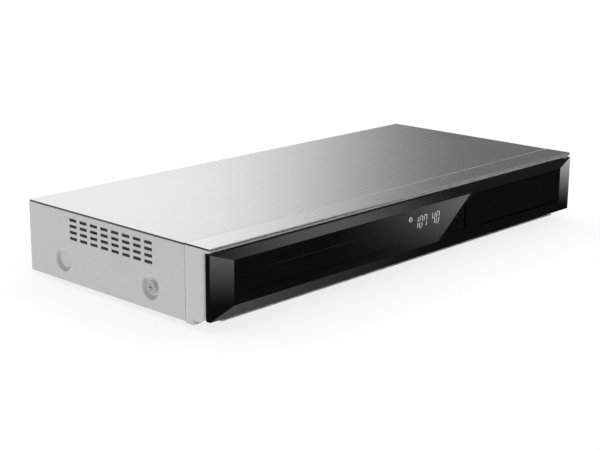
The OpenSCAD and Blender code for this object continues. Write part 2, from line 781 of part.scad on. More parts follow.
module drive_ribbon() {
  path = [
    [-60, drive_z[0] - 0.9], [-31.5, drive_z[0] - 0.9], [-31.5, board_top + 3], [-22, board_top + 3],
    [-22, board_top + 3.4], [-31.9, board_top + 3.4], [-31.9, drive_z[0] - 0.5], [-60, drive_z[0] - 0.5]
  ];
  color("whitesmoke") union() {
    prism_y([-30, -8], path);
    block([-24, -31, board_top], [-19, -7, board_top + 4]);
    block([-62, -31, drive_z[0] - 2], [-57, -7, drive_z[0]]);
  }
}

// ---- Hard disc ----

module hdd_case() {
  cut = 3;
  x = hdd_x;
  y = hdd_y;
  outline = [
    [x[0] + cut, y[0]], [x[1] - cut, y[0]], [x[1], y[0] + cut], [x[1], y[1] - cut],
    [x[1] - cut, y[1]], [x[0] + cut, y[1]], [x[0], y[1] - cut], [x[0], y[0] + cut]
  ];
  color("silver") difference() {
    translate([0, 0, hdd_z[0]]) linear_extrude(hdd_z[1] - 1.4 - hdd_z[0]) polygon(outline);
    block([x[0] + 8, 0, hdd_z[0] - 1], [x[1] - 8, y[1] + 1, hdd_z[0] + 2.2]);
    for (at = [y[0] + 16, y[0] + 60, y[1] - 16]) rod_x([x[0] - 1, x[1] + 1], at, hdd_z[0] + 6.3, 1.6);
  }
}

module hdd_lid() {
  z = [hdd_z[1] - 1.4, hdd_z[1]];
  x = hdd_x;
  y = hdd_y;
  outline = [
    [x[0] + 3, y[0] + 3], [x[1] - 3, y[0] + 3], [x[1] - 3, y[1] - 30], [x[1] - 12, y[1] - 3],
    [x[0] + 12, y[1] - 3], [x[0] + 3, y[1] - 30]
  ];
  color("lightgray") difference() {
    translate([0, 0, z[0]]) linear_extrude(z[1] - z[0]) polygon(outline);
    rod_z((x[0] + x[1]) / 2, y[0] + 52, [z[1] - 0.5, z[1] + 1], 45);
    for (p = [[x[0] + 8, y[0] + 8], [x[1] - 8, y[0] + 8], [x[0] + 8, y[1] - 34], [x[1] - 8, y[1] - 34]])
      rod_z(p[0], p[1], [z[1] - 0.7, z[1] + 1], 2.5);
  }
}

module hdd_board() {
  color("darkgreen") union() {
    block([hdd_x[0] + 9, 1, hdd_z[0] + 0.6], [hdd_x[1] - 9, hdd_y[1] - 0.5, hdd_z[0] + 2.2]);
    block([hdd_x[1] - 42, hdd_y[1] - 7, hdd_z[0] + 0.1], [hdd_x[1] - 12, hdd_y[1] + 0.5, hdd_z[0] + 1]);
  }
}

module hdd_bracket() {
  z = [hdd_z[0] - bracket_t, hdd_z[0]];
  legs = [[-32.6, -31.6], [77, 78]];
  color("lightsteelblue") difference() {
    union() {
      block([legs[0][0], hdd_y[0] + 2, z[0]], [legs[1][1], 30, z[1]]);
      for (x = legs) block([x[0], hdd_y[0] + 2, base_top], [x[1], 30, z[1] - 0.2]);
      block([legs[1][0], hdd_y[0] + 2, base_top], [legs[1][1] + 8, 30, base_top + 1]);
    }
    block([hdd_x[0] + 15, -40, z[0] - 1], [hdd_x[1] - 15, 12, z[1] + 1]);
    block([legs[0][0] - 1, -34, base_top - 1], [legs[0][1] + 1, -4, 24]);
    block([legs[1][0] - 1, -44, 12], [legs[1][1] + 1, -10, 24]);
  }
}

// ---- Main board ----

module main_board() {
  color("darkgreen") block([main_x[0], main_y[0], board_z], [main_x[1], main_y[1], board_top]);
}

module board_chips() {
  // x, y, width, length, height
  chips = [
    [44, -20, 31, 31, 1.6], [-2, -38, 14, 12, 1.1], [-2, -20, 14, 12, 1.1], [-2, -2, 14, 12, 1.1],
    [20, 22, 18, 18, 1.4], [50, 30, 12, 18, 1.2], [-12, 26, 10, 10, 1.1], [60, 54, 9, 9, 1.1]
  ];
  caps = [[10, -46], [20, -46], [66, 8], [66, 20], [-22, 48], [-8, 48], [8, 50], [34, 56]];
  color([0.12, 0.12, 0.12]) {
    for (c = chips)
      translate([c[0] - c[2] / 2, c[1] - c[3] / 2, board_top]) cube([c[2], c[3], c[4]]);
    for (c = caps) rod_z(c[0], c[1], [board_top, board_top + 8], 3.2);
  }
}

module chip_heatsink() {
  z = board_top + 1.6;
  color("darkgray") union() {
    block([24, -40, z], [64, 0, z + 2]);
    for (i = [0:9]) block([24 + 4.25 * i, -40, z + 1.9], [25.6 + 4.25 * i, 0, z + 10]);
  }
}

module tuner_can() {
  color("silver") difference() {
    block([tuner_x[0], 58, board_top], [tuner_x[1], panel_in, board_top + 14]);
    block([tuner_x[0] + 4, 62, board_top + 13.4], [tuner_x[1] - 4, panel_in - 6, board_top + 15]);
  }
}

module coax_sockets() {
  y = [panel_in, back_y + coax_out];
  shell_r = 6;
  color("silver") {
    // aerial in: an outer shell round a centre contact
    difference() {
      union() {
        rod_y(coax_x[0], y, coax_z, shell_r);
        rod_y(coax_x[0], [panel_in, back_y + 1.5], coax_z, 6.2);
      }
      difference() {
        rod_y(coax_x[0], [panel_in + 1, y[1] + 1], coax_z, 4.82);
        rod_y(coax_x[0], [panel_in, y[1] - 1], coax_z, 2);
      }
      rod_y(coax_x[0], [back_y, y[1] + 1], coax_z, 1.2);
    }
    // aerial out: a sleeve with a centre pin
    difference() {
      union() {
        rod_y(coax_x[1], y, coax_z, 4.76);
        rod_y(coax_x[1], [panel_in, back_y + 0.5], coax_z, 6.2);
      }
      difference() {
        rod_y(coax_x[1], [panel_in + 1, y[1] + 1], coax_z, 4.1);
        rod_y(coax_x[1], [panel_in, y[1] + 2], coax_z, 1.2);
      }
    }
  }
}

module hdmi_sockets() {
  y = [panel_in - 11, back_y + 0.4];
  z = [board_top, board_top + 6.2];
  color("gainsboro") for (x = hdmi_x) {
    outline = [
      [x - 7, z[1] - 0.8], [x - 7, z[0] + 2.4], [x - 5, z[0] + 1.2],
      [x + 5, z[0] + 1.2], [x + 7, z[0] + 2.4], [x + 7, z[1] - 0.8]
    ];
    union() {
      difference() {
        block([x - 7.6, y[0], z[0]], [x + 7.6, y[1], z[1]]);
        prism_y([y[0] + 2, y[1] + 1], outline);
      }
      block([x - 5.5, y[0] + 1, z[0] + 2.8], [x + 5.5, y[1] - 2, z[0] + 3.8]);
    }
  }
}

module lan_socket() {
  y = [panel_in - 14, back_y + 0.4];
  mid = (lan_x[0] + lan_x[1]) / 2;
  color("gainsboro") difference() {
    block([lan_x[0], y[0], board_top], [lan_x[1], y[1], board_top + 13.6]);
    block([mid - 5.9, y[0] + 2, board_top + 3.6], [mid + 5.9, y[1] + 1, board_top + 11.6]);
    block([mid - 3, y[1] - 9, board_top + 1.4], [mid + 3, y[1] + 1, board_top + 4]);
  }
}

module usb_socket() {
  y = [slot_panel_y + 0.2, slot_panel_y + 15];
  z = [slot_board_top + 0.4, slot_board_top + 6.6];
  color("silver") union() {
    difference() {
      block([usb_x - 6.6, y[0], z[0]], [usb_x + 6.6, y[1], z[1]]);
      block([usb_x - 6.1, y[0] - 1, z[0] + 0.5], [usb_x + 6.1, y[1] - 1, z[1] - 0.5]);
    }
    block([usb_x - 5.6, y[0] + 1.5, z[1] - 3], [usb_x + 5.6, y[1] - 0.5, z[1] - 1]);
    block([usb_x - 6.6, slot_panel_y + 8, slot_board_top], [usb_x + 6.6, y[1], z[0] + 0.2]);
  }
}

module av_jacks() {
  y = [panel_in - 13, panel_in];
  barrel_end = back_y + 7.5;
  color("dimgray") {
    difference() {
      union() {
        block([jack_x[0] - 8, y[0], jack_z - 8], [jack_x[2] + 8, y[1], jack_z + 8]);
        for (x = jack_x) rod_y(x, [y[1] - 1, back_y + 1.2], jack_z, 5.2);
        for (x = jack_x) rod_y(x, [y[1], barrel_end], jack_z, 4.15);
      }
      for (x = jack_x) rod_y(x, [y[1] - 8, barrel_end + 1], jack_z, 1.7);
    }
    difference() {
      block([optical_x - 6, y[0], jack_z - 5.5], [optical_x + 6, back_y + 0.5, jack_z + 5.5]);
      block([optical_x - 3.2, back_y - 6, jack_z - 3.2], [optical_x + 3.2, back_y + 1, jack_z + 3.2]);
    }
  }
}

// ---- Card slots behind the flap ----

module ci_cage() {
  y = [slot_panel_y + slot_panel_t + 0.1, slot_panel_y + 90];
  side = 2;
  x = [ci_x - ci_slot_w / 2, ci_x + ci_slot_w / 2];
  color("silver") difference() {
    block([x[0] - side, y[0], slot_board_top], [x[1] + side, y[1], ci_slot_z[1] + 1.6]);
    block([x[0], y[0] - 1, ci_slot_z[0]], [x[1], y[0] + ci_depth, ci_slot_z[1]]);
    block([x[0] + 8, y[0] + 20, ci_slot_z[1] - 1], [x[1] - 8, y[0] + 60, ci_slot_z[1] + 3]);
  }
}

module sd_slot() {
  y = [slot_panel_y + slot_panel_t + 0.1, slot_panel_y + 30];
  z = [slot_board_top, slot_board_top + 3.8];
  color("silver") difference() {
    block([sd_x - 13, y[0], z[0]], [sd_x + 13, y[1], z[1]]);
    block([sd_x - 12.2, y[0] - 1, z[0] + 0.8], [sd_x + 12.2, y[1] - 3, z[0] + 3.2]);
  }
}

module slot_board() {
  color("darkgreen") block([80, -90, slot_board_top - pcb_t], [190, -2, slot_board_top]);
}

// ---- Power supply ----

module psu_board() {
  color("peru") block([psu_x[0], psu_y[0], board_z], [psu_x[1], psu_y[1], board_top]);
}

module psu_transformer() {
  z = board_top;
  color("goldenrod") union() {
    block([124, 32, z], [156, 58, z + 3]);
    block([128, 34, z + 2], [152, 56, z + 22]);
    block([122, 38, z + 3], [158, 52, z + 9]);
    block([122, 38, z + 17], [158, 52, z + 24]);
    for (x = [122, 152]) block([x, 38, z + 3], [x + 6, 52, z + 24]);
  }
}

module psu_capacitors() {
  // x, y, radius, height
  cans = [
    [184, 38, 11, 32], [112, 74, 5, 20], [124, 78, 5, 20], [136, 78, 4, 16],
    [148, 80, 4, 16], [166, 62, 6, 12], [200, 62, 4, 10]
  ];
  color([0.1, 0.1, 0.14]) {
    for (c = cans) difference() {
      rod_z(c[0], c[1], [board_top, board_top + c[3]], c[2]);
      for (turn = [0, 90]) translate([c[0], c[1], board_top + c[3]]) rotate([0, 0, turn])
        cube([c[2] * 1.2, 0.4, 0.6], center = true);
    }
    block([174, 64, board_top], [178, 78, board_top + 14]);
    block([162, 20, board_top], [172, 40, board_top + 16]);
  }
}

module psu_heatsinks() {
  color("darkgray") for (x = [106, 200]) union() {
    block([x, 14, board_top], [x + 2, 54, board_top + 26]);
    for (i = [0:5]) block([x - 3, 16 + 7 * i, board_top + 8], [x + 0.5, 17.5 + 7 * i, board_top + 26]);
  }
}

module mains_inlet() {
  y = [panel_in - 19, back_y + 0.6];
  mid = [(inlet_x[0] + inlet_x[1]) / 2, (inlet_z[0] + inlet_z[1]) / 2];
  pin_x = 4.3;
  color([0.1, 0.1, 0.1]) union() {
    difference() {
      union() {
        block([inlet_x[0] + 3, y[0], inlet_z[0] + 3.3], [inlet_x[1] - 3, y[1], inlet_z[1] - 3]);
        block([inlet_x[0], y[0], board_top], [inlet_x[1], panel_in, inlet_z[1]]);
      }
      for (s = [-1, 1]) rod_y(mid[0] + s * pin_x, [y[1] - 14, y[1] + 1], mid[1], 4);
      block([mid[0] - pin_x, y[1] - 14, mid[1] - 4], [mid[0] + pin_x, y[1] + 1, mid[1] + 4]);
    }
    for (s = [-1, 1]) rod_y(mid[0] + s * pin_x, [y[1] - 15, y[1] - 3.5], mid[1], 1.2);
  }
}

// ---- Fan and wiring ----

module fan_frame() {
  half = fan_side / 2;
  strut_w = 2.4;
  plate_t = 1.5;
  color([0.08, 0.08, 0.08]) difference() {
    union() {
      difference() {
        block([fan_at[0] - half, fan_y[0], fan_at[1] - half],
              [fan_at[0] + half, fan_y[1], fan_at[1] + half]);
        rod_y(fan_at[0], [fan_y[0] - 1, fan_y[1] + 1], fan_at[1], duct_r);
      }
      rod_y(fan_at[0], [fan_y[0], fan_y[0] + plate_t], fan_at[1], hub_r);
      for (turn = [45, 165, 285])
        translate([fan_at[0], fan_y[0], fan_at[1]]) rotate([0, turn, 0])
          translate([-strut_w / 2, 0, 0]) cube([strut_w, plate_t, duct_r + 0.5]);
    }
    rod_y(fan_at[0], [fan_y[0] - 1, fan_y[0] + 2], fan_at[1], 1.5 + run_gap);
    for (sx = [-1, 1], sz = [-1, 1])
      rod_y(fan_at[0] + sx * 16, [fan_y[0] - 1, fan_y[1] + 1], fan_at[1] + sz * 16, 1.6);
  }
}

module fan_rotor() {
  y = [fan_y[0] + 2, fan_y[1] - 0.6];
  blade = [1.2, 8, duct_r - 1 - hub_r + 1];
  color([0.12, 0.12, 0.12]) union() {
    rod_y(fan_at[0], y, fan_at[1], hub_r);
    rod_y(fan_at[0], [fan_y[0] + 0.3, y[0] + 1], fan_at[1], 1.5);
    for (i = [0:fan_blades - 1])
      translate([fan_at[0], (y[0] + y[1]) / 2, fan_at[1]]) rotate([0, i * 360 / fan_blades, 0])
        rotate([0, 0, 40]) translate([-blade[0] / 2, -blade[1] / 2, hub_r - 1]) cube(blade);
  }
}

module front_ribbon() {
  z = 21;
  path = [
    [board_y + pcb_t, z], [board_y + 8, z], [board_y + 8, 16.2], [-52, 16.2],
    [-52, 16.6], [board_y + 8.4, 16.6], [board_y + 8.4, z + 0.4], [board_y + pcb_t, z + 0.4]
  ];
  color("whitesmoke") union() {
    prism_x([4, 24], path);
    block([3, -56, board_top], [25, -51, board_top + 3.4]);
    block([3, board_y + pcb_t, z - 1.5], [25, board_y + pcb_t + 4, z + 1.5]);
  }
}

module power_harness() {
  wire_z = board_top + 4;
  color("firebrick") union() {
    for (i = [0:3]) rod_x([70, 104], 62 + 2 * i, wire_z, 0.8);
    block([66, 60, board_top], [72, 70, board_top + 6]);
    block([102, 60, board_top], [108, 70, board_top + 6]);
  }
}

top_plate();
cover();
front_frame();
front_bezel();
display_window();
flap();
flap_pins();
slot_panel();
power_button();
eject_button();
key_switches();
front_board();
display_module();
display_segments();
chassis_base();
rear_panel();
feet();
foot_pads();
cover_screws();
drive_chassis();
drive_lid();
disc_tray();
tray_door();
tray_pinion();
motor_pinion();
loader_motor();
traverse_frame();
spindle_motor();
turntable();
disc_clamp();
laser_sled();
sled_rails();
lead_screw();
sled_motor();
drive_ribbon();
hdd_case();
hdd_lid();
hdd_board();
hdd_bracket();
main_board();
board_chips();
chip_heatsink();
tuner_can();
coax_sockets();
hdmi_sockets();
lan_socket();
usb_socket();
av_jacks();
ci_cage();
sd_slot();
slot_board();
psu_board();
psu_transformer();
psu_capacitors();
psu_heatsinks();
mains_inlet();
fan_frame();
fan_rotor();
front_ribbon();
power_harness();
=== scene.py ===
"""Looks, floor, light and camera for the slim home video recorder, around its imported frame.

Everything is in metres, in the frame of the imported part: X right, Y back, Z up.
"""

import math
import random

import bmesh
import bpy
from mathutils import Matrix, Vector


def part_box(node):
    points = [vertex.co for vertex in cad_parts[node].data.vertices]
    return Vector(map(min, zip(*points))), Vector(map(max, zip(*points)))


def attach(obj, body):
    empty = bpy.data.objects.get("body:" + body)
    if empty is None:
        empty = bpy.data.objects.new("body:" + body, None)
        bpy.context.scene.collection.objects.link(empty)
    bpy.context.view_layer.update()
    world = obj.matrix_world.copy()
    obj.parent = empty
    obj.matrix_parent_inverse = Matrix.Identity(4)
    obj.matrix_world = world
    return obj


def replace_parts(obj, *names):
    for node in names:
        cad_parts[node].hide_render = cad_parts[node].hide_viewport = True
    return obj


MM = 0.001
X, Y, Z = range(3)

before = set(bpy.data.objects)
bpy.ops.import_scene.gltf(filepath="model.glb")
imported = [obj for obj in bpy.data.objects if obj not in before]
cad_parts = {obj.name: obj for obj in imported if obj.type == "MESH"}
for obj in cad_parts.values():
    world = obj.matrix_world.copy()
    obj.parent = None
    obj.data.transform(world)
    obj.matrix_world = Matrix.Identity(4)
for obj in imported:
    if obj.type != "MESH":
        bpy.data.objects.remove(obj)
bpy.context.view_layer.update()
SLOTS = {}


def limit(name, end, axis):
    """Where a node begins (end 0) or stops (end 1) along an axis, in millimetres."""
    return round(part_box(name)[end][axis] / MM, 2)


def middle(name, axis):
    """The middle of a node along an axis, in millimetres."""
    return (limit(name, 0, axis) + limit(name, 1, axis)) / 2


# Places that several parts share, in millimetres
HALF_WIDTH = limit("cover", 1, X)
PLATE_FRONT = limit("top_plate", 0, Y)
PLATE_UNDER = limit("top_plate", 0, Z)
LIP_FRONT = limit("front_frame", 0, Y)
PANEL_BACK = limit("rear_panel", 1, Y)
BASE_UNDER = limit("chassis_base", 0, Z)
BOARD_TOP = limit("main_board", 1, Z)
FAN_X, FAN_Z = middle("fan_frame", X), middle("fan_frame", Z)
JACK_Z = middle("av_jacks", Z)


# ---- Node helpers ----

def node(tree, kind, inputs=None, **settings):
    """A shader node with its settings and inputs; a socket as a value is linked."""
    made = tree.nodes.new("ShaderNode" + kind)
    for name, value in settings.items():
        setattr(made, name, value)
    for key, value in (inputs or {}).items():
        if isinstance(value, bpy.types.NodeSocket):
            tree.links.new(value, made.inputs[key])
        else:
            made.inputs[key].default_value = value
    return made


def calc(tree, operation, *values, clamp=False):
    """A maths node's result."""
    inputs = dict(enumerate(values))
    return node(tree, "Math", inputs, operation=operation, use_clamp=clamp).outputs[0]


def span(tree, value, low, high, to_low=0.0, to_high=1.0, smooth=True):
    """Value mapped from low..high to to_low..to_high, clamped."""
    kind = "SMOOTHSTEP" if smooth else "LINEAR"
    inputs = {"Value": value, "From Min": low, "From Max": high, "To Min": to_low, "To Max": to_high}
    return node(tree, "MapRange", inputs, interpolation_type=kind).outputs[0]


def grey(value):
    return (value, value, value, 1)


def rgb(*channels):
    return (*channels, 1)


def mix_colour(tree, factor, a, b):
    made = node(tree, "Mix", {"Factor": factor}, data_type="RGBA")
    for socket, value in ((made.inputs[6], a), (made.inputs[7], b)):
        if isinstance(value, bpy.types.NodeSocket):
            tree.links.new(value, socket)
        else:
            socket.default_value = value
    return made.outputs[2]


# ---- Materials ----

class Surface:
    """A material under construction: its tree, its shader and its object coordinates."""

    def __init__(self, name, colour, roughness, metallic=0.0, **sockets):
        self.name = name
        self.material = bpy.data.materials.new(name + "_finish")
        self.material.use_nodes = True
        self.tree = self.material.node_tree
        self.shader = self.tree.nodes["Principled BSDF"]
        self.set("Base Color", colour)
        self.set("Roughness", roughness)
        self.set("Metallic", metallic)
        for key, value in sockets.items():
            self.set(key.replace("_", " "), value)
        self.place = node(self.tree, "TexCoord").outputs["Object"]

    def set(self, key, value):
        if isinstance(value, bpy.types.NodeSocket):
            self.tree.links.new(value, self.shader.inputs[key])
        else:
            self.shader.inputs[key].default_value = value

    def noise(self, size, stretch=(1, 1, 1), detail=3.0, rough=0.5):
        """Noise whose features are about size metres, longer along an axis with a larger stretch."""
        scale = [1 / s for s in stretch]
        place = node(self.tree, "Mapping", {"Vector": self.place, "Scale": scale}).outputs[0]
        inputs = {"Vector": place, "Scale": 1 / size, "Detail": detail, "Roughness": rough}
        return node(self.tree, "TexNoise", inputs).outputs[0]

    def cells(self, size, feature="F1", stretch=(1, 1, 1)):
        scale = [1 / s for s in stretch]
        place = node(self.tree, "Mapping", {"Vector": self.place, "Scale": scale}).outputs[0]
        return node(self.tree, "TexVoronoi", {"Vector": place, "Scale": 1 / size}, feature=feature)

    def vary_roughness(self, pattern, low, high):
        self.set("Roughness", span(self.tree, pattern, 0.3, 0.7, low, high, smooth=False))

    def vary_colour(self, pattern, a, b, low=0.3, high=0.7):
        factor = span(self.tree, pattern, low, high, smooth=False)
        self.set("Base Color", mix_colour(self.tree, factor, a, b))

    def bump(self, height, depth, strength=1.0):
        """Relief of depth metres."""
        inputs = {"Height": height, "Strength": strength, "Distance": depth}
        self.set("Normal", node(self.tree, "Bump", inputs).outputs[0])

    def linked(self, key):
        """What already feeds one of the shader's sockets."""
        return self.shader.inputs[key].links[0].from_socket

    def ramp(self, axis, low, high, to_low=0.0, to_high=1.0, smooth=True):
        """A value that changes between two places along an axis, given in millimetres."""
        return span(self.tree, self.axis(axis), low * MM, high * MM, to_low, to_high, smooth)

    def near_sides(self, low, high):
        """0 from the middle out to low, 1 from high on, in millimetres on either side."""
        distance = calc(self.tree, "ABSOLUTE", self.axis("X"))
        return span(self.tree, distance, low * MM, high * MM)

    def paint_shade_on_ends(self, above=0.0):
        """Painted shade: a dark line along both sides, on what is higher than above."""
        ends = self.near_sides(HALF_WIDTH - 0.22, HALF_WIDTH - 0.1)
        edge_mask = calc(self.tree, "MULTIPLY", ends, self.ramp("Z", above, above + 0.1))
        # the dark grey mixed in here is the painted shade line
        self.set("Base Color", mix_colour(self.tree, edge_mask, self.linked("Base Color"), grey(0.09)))

    def axis(self, name):
        return node(self.tree, "SeparateXYZ", {0: self.place}).outputs[name]


def brushed_aluminium():
    """Hairlines along X, a blunt, duller front edge, and a painted shade line along both sides."""
    s = Surface("brushed_aluminium", grey(0.9), 0.26, 1.0)
    hairlines = s.noise(0.0004, (90, 1, 1), 4, 0.6)
    clouds = s.noise(0.09, (3, 1, 1), 2)
    s.vary_colour(hairlines, rgb(0.88, 0.883, 0.887), rgb(0.92, 0.923, 0.927))
    # painted shade line along the top plate's two side edges
    s.paint_shade_on_ends()
    grain = calc(s.tree, "MULTIPLY_ADD", clouds, 0.25, calc(s.tree, "MULTIPLY", hairlines, 0.75))
    s.vary_roughness(grain, 0.22, 0.3)
    dull = s.ramp("Y", PLATE_FRONT + 0.55, PLATE_FRONT + 1.05, 0.4, 0.0)
    s.set("Roughness", calc(s.tree, "ADD", s.linked("Roughness"), dull))
    blunt = s.ramp("Y", PLATE_FRONT - 0.15, PLATE_FRONT + 0.75, 0.0, 0.3 * MM)
    s.bump(calc(s.tree, "MULTIPLY_ADD", hairlines, 0.0000012, blunt), 1.0)
    return s


def painted_steel():
    """Silver baked paint over pressed steel, with a fine grain."""
    s = Surface("painted_steel", grey(0.6), 0.3, 0.65, Specular_IOR_Level=0.4)
    peel = s.noise(0.0009, detail=4)
    clouds = s.noise(0.05)
    s.vary_colour(clouds, rgb(0.72, 0.722, 0.727), rgb(0.75, 0.752, 0.757))
    s.vary_roughness(peel, 0.27, 0.35)
    s.bump(peel, 0.00001)
    return s


def silver_frame():
    """Metallic lacquer on the moulded front frame."""
    s = Surface("silver_frame", grey(0.95), 0.25, 1.0)
    flakes = s.noise(0.0003, detail=2)
    s.vary_colour(flakes, rgb(0.93, 0.933, 0.94), rgb(0.97, 0.973, 0.98))
    # painted shade line along the front strip's two side edges, above the top plate's underside
    s.paint_shade_on_ends(PLATE_UNDER)
    sheen = span(s.tree, flakes, 0.3, 0.7, 0.21, 0.28, smooth=False)
    low = s.ramp("Z", PLATE_UNDER - 1, PLATE_UNDER, 1.0, 0.0)
    s.set("Roughness", calc(s.tree, "MULTIPLY_ADD", low, 0.17, sheen))
    # the two sides are nearly matt
    matt = calc(s.tree, "MULTIPLY", s.near_sides(HALF_WIDTH - 1.8, HALF_WIDTH - 1), low)
    s.set("Base Color", mix_colour(s.tree, matt, s.linked("Base Color"), grey(0.565)))
    s.set("Metallic", calc(s.tree, "MULTIPLY_ADD", matt, -0.85, 1.0))
    # the lip's face swells out along its lower edge
    roll = s.ramp("Z", PLATE_UNDER - 1.9, PLATE_UNDER - 1.1, 0.45 * MM, 0.0, smooth=False)
    face = calc(s.tree, "LESS_THAN", s.axis("Y"), (LIP_FRONT + 0.7) * MM)
    swell = calc(s.tree, "MULTIPLY", roll, face)
    s.bump(calc(s.tree, "MULTIPLY_ADD", flakes, 0.000003, swell), 1.0)
    return s


def black_gloss():
    """Polished black moulding, with faint wiping marks."""
    s = Surface("black_gloss", rgb(0.0032, 0.0032, 0.0035), 0.012, IOR=1.5)
    haze = s.noise(0.03)
    swirl = s.noise(0.0008, (12, 1, 1), 3)
    s.vary_colour(swirl, rgb(0.0028, 0.0028, 0.003), rgb(0.0042, 0.0042, 0.0046))
    s.vary_roughness(haze, 0.008, 0.02)
    return s


def smoked_window():
    """Dark see-through plastic in front of the display."""
    smoke = rgb(0.06, 0.061, 0.065)
    s = Surface("smoked_window", smoke, 0.008, IOR=1.5, Transmission_Weight=1.0)
    haze = s.noise(0.02)
    s.vary_roughness(haze, 0.004, 0.012)
    return s


def lit_segments():
    """The display's glowing figures, a little uneven."""
    glowing = rgb(0.94, 0.97, 1.0)
    s = Surface("lit_segments", rgb(0.5, 0.52, 0.55), 0.5, Emission_Color=glowing)
    glow = s.noise(0.004)
    s.set("Emission Strength", span(s.tree, glow, 0.3, 0.7, 8.5, 10.5, smooth=False))
    return s


def plastic(name, low, high, grain=0.0005, relief=0.00002, rough=(0.42, 0.55)):
    """Moulded plastic between two tones, with a fine grain of relief metres."""
    s = Surface(name, low, rough[0])
    texture = s.noise(grain, detail=4, rough=0.6)
    s.vary_colour(s.noise(0.012), low, high)
    s.vary_roughness(texture, *rough)
    s.bump(texture, relief)
    return s


def dark_rubber():
    low, high = rgb(0.022, 0.022, 0.023), rgb(0.03, 0.03, 0.032)
    return plastic("dark_rubber", low, high, 0.0007, 0.00005, (0.75, 0.9))


def zinc_steel():
    """Zinc-coated sheet, its spangle in patches of their own tone and gloss."""
    s = Surface("zinc_steel", grey(0.6), 0.36, 0.85)
    spangle = s.cells(0.006)
    tone = node(s.tree, "SeparateColor", {0: spangle.outputs["Color"]}).outputs[0]
    s.vary_colour(tone, rgb(0.56, 0.57, 0.585), rgb(0.63, 0.64, 0.655), 0, 1)
    s.set("Roughness", span(s.tree, tone, 0, 1, 0.3, 0.44, smooth=False))
    s.bump(s.noise(0.0012), 0.00001)
    return s


def metal(name, low, high, rough, size=0.0006, stretch=(1, 1, 1), relief=0.000006):
    """Bare metal between two tones, with marks of about size metres."""
    s = Surface(name, low, rough[0], 1.0)
    texture = s.noise(size, stretch, 4, 0.6)
    s.vary_colour(s.noise(0.008), low, high)
    s.vary_roughness(texture, *rough)
    s.bump(texture, relief)
    return s


def circuit_board():
    """Green solder mask over tracks, with pads and vias."""
    s = Surface("circuit_board", rgb(0.01, 0.09, 0.035), 0.32, Coat_Weight=0.3, Coat_Roughness=0.2)
    tracks = s.cells(0.0045, "DISTANCE_TO_EDGE", (1, 1, 5))
    line = span(s.tree, tracks.outputs["Distance"], 0.05, 0.09)
    vias = s.cells(0.0032)
    via = span(s.tree, vias.outputs["Distance"], 0.12, 0.15)
    mask = mix_colour(s.tree, line, rgb(0.03, 0.19, 0.075), rgb(0.008, 0.075, 0.03))
    s.set("Base Color", mix_colour(s.tree, via, rgb(0.55, 0.5, 0.36), mask))
    s.set("Metallic", calc(s.tree, "SUBTRACT", 1.0, via))
    s.bump(line, 0.00003)
    return s


def paper_board():
    """Brown single-sided board with fibre flecks."""
    s = Surface("paper_board", rgb(0.3, 0.17, 0.07), 0.55)
    s.vary_colour(s.noise(0.002, (4, 1, 1), 4), rgb(0.24, 0.13, 0.05), rgb(0.36, 0.21, 0.09))
    s.bump(s.noise(0.0006), 0.00001)
    return s


def winding_tape():
    """Wound polyester tape, lapped every few millimetres."""
    s = Surface("winding_tape", rgb(0.75, 0.55, 0.06), 0.3, Coat_Weight=0.5)
    laps = calc(s.tree, "PINGPONG", s.axis("Z"), 0.003)
    edge = span(s.tree, laps, 0, 0.0006)
    s.set("Base Color", mix_colour(s.tree, edge, rgb(0.45, 0.3, 0.03), rgb(0.78, 0.58, 0.08)))
    s.bump(edge, 0.00008)
    return s


def flat_cable():
    """Flat cable whose conductors show through its film."""
    s = Surface("flat_cable", grey(0.7), 0.35, Coat_Weight=0.4)
    wires = calc(s.tree, "PINGPONG", s.axis("X"), 0.0005)
    gap = span(s.tree, wires, 0.0001, 0.00025)
    s.set("Base Color", mix_colour(s.tree, gap, rgb(0.42, 0.44, 0.48), rgb(0.78, 0.78, 0.76)))
    s.bump(gap, 0.00005)
    return s


def wire_red():
    """Bundle of coloured insulated wires, with painted shade in the crevices between them."""
    s = Surface("wire_red", rgb(0.5, 0.03, 0.02), 0.4)
    wires = calc(s.tree, "PINGPONG", calc(s.tree, "ADD", s.axis("Y"), s.axis("Z")), 0.0009)
    crevice_shade = span(s.tree, wires, 0.0001, 0.0005)
    # the near-black colour is painted shade in the crevices
    s.set("Base Color", mix_colour(s.tree, crevice_shade, grey(0.01), rgb(0.55, 0.04, 0.03)))
    s.bump(wires, 0.0004)
    return s


